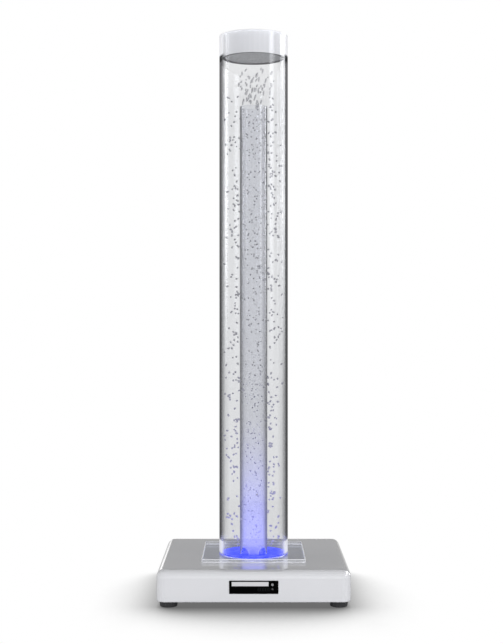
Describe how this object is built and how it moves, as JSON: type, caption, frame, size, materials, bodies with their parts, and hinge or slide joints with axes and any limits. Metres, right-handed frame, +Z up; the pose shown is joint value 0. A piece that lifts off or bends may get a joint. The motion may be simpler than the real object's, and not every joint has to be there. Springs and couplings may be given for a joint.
{
  "type": "waterless snow tube",
  "caption": "Floor-standing sensory lamp: a blower lifts foam beads up a clear inner tube and they fall as snow inside a tall clear outer tube on a square base with a control panel.",
  "frame": {"origin": "on the floor under the middle of the square base, on the tubes' axis", "axes": "+Z up along the tubes; the control panel is on the front, which faces -Y; +X is to the right of someone facing the panel"},
  "size_m": [0.4, 0.404, 1.21],
  "materials": {
    "silver_housing": "smooth glossy light silver-grey",
    "light_grey_plastic": "satin light grey",
    "clear_acrylic": "clear polished acrylic",
    "lit_floor": "frosted, lit blue from below",
    "black_rubber": "matte black",
    "steel": "zinc-plated",
    "white_plastic": "plain white",
    "black_plastic": "gloss black",
    "dark_foam": "open-cell foam, dark grey",
    "display_pane": "smooth pale grey pane",
    "tinted_lens": "smoked lens",
    "circuit_board": "green lacquer",
    "black_cable": "satin black sheath"
  },
  "bodies": {
    "root": {"base_housing": "silver_housing", "base_plate": "steel", "foot_front_left": "black_rubber", "foot_front_right": "black_rubber", "foot_rear_left": "black_rubber", "foot_rear_right": "black_rubber", "foot_screw_front_left": "steel", "foot_screw_front_right": "steel", "foot_screw_rear_left": "steel", "foot_screw_rear_right": "steel", "tube_flange": "clear_acrylic", "outer_tube": "clear_acrylic", "inner_tube": "clear_acrylic", "tube_floor": "lit_floor", "air_nozzle": "white_plastic", "nozzle_screen": "steel", "light_well": "white_plastic", "light_well_screw_1": "steel", "light_well_screw_2": "steel", "light_well_screw_3": "steel", "led_ring": "white_plastic", "blower_scroll": "black_plastic", "blower_lid": "black_plastic", "blower_screw_1": "steel", "blower_screw_2": "steel", "blower_screw_3": "steel", "intake_filter": "dark_foam", "air_duct": "black_plastic", "motor_can": "steel", "shaft_bearing_upper": "steel", "shaft_bearing_lower": "steel", "panel_bezel": "black_plastic", "display_window": "display_pane", "display_module": "white_plastic", "status_lamp": "tinted_lens", "control_board": "circuit_board", "panel_screw_left": "steel", "panel_screw_right": "steel", "power_inlet": "black_plastic", "inlet_nut": "steel", "power_lead": "black_cable", "fan_lead": "black_cable", "light_lead": "black_cable"},
    "impeller": {"impeller": "black_plastic", "motor_shaft": "steel"},
    "cap": {"top_cap": "light_grey_plastic", "cap_filter": "dark_foam", "filter_ring": "dark_foam"},
    "power_button": {"power_button": "light_grey_plastic"},
    "key_1": {"key_1": "black_plastic"},
    "key_2": {"key_2": "black_plastic"},
    "key_3": {"key_3": "black_plastic"},
    "key_4": {"key_4": "black_plastic"},
    "key_5": {"key_5": "black_plastic"}
  },
  "joints": [
    {"name": "impeller_spin", "type": "hinge", "parent": "root", "child": "impeller", "pos_m": [-0.046, 0.127, 0.0344], "axis": [0, 0, 1], "continuous": true},
    {"name": "cap_lift", "type": "slide", "parent": "root", "child": "cap", "axis": [0, 0, 1], "range_m": [0, 0.1]},
    {"name": "power_button_press", "type": "slide", "parent": "root", "child": "power_button", "axis": [0, 1, 0], "range_m": [0, 0.0008], "stiffness_N_per_m": 300},
    {"name": "key_1_press", "type": "slide", "parent": "root", "child": "key_1", "axis": [0, 1, 0], "range_m": [0, 0.0008], "stiffness_N_per_m": 300},
    {"name": "key_2_press", "type": "slide", "parent": "root", "child": "key_2", "axis": [0, 1, 0], "range_m": [0, 0.0008], "stiffness_N_per_m": 300},
    {"name": "key_3_press", "type": "slide", "parent": "root", "child": "key_3", "axis": [0, 1, 0], "range_m": [0, 0.0008], "stiffness_N_per_m": 300},
    {"name": "key_4_press", "type": "slide", "parent": "root", "child": "key_4", "axis": [0, 1, 0], "range_m": [0, 0.0008], "stiffness_N_per_m": 300},
    {"name": "key_5_press", "type": "slide", "parent": "root", "child": "key_5", "axis": [0, 1, 0], "range_m": [0, 0.0008], "stiffness_N_per_m": 300}
  ]
}
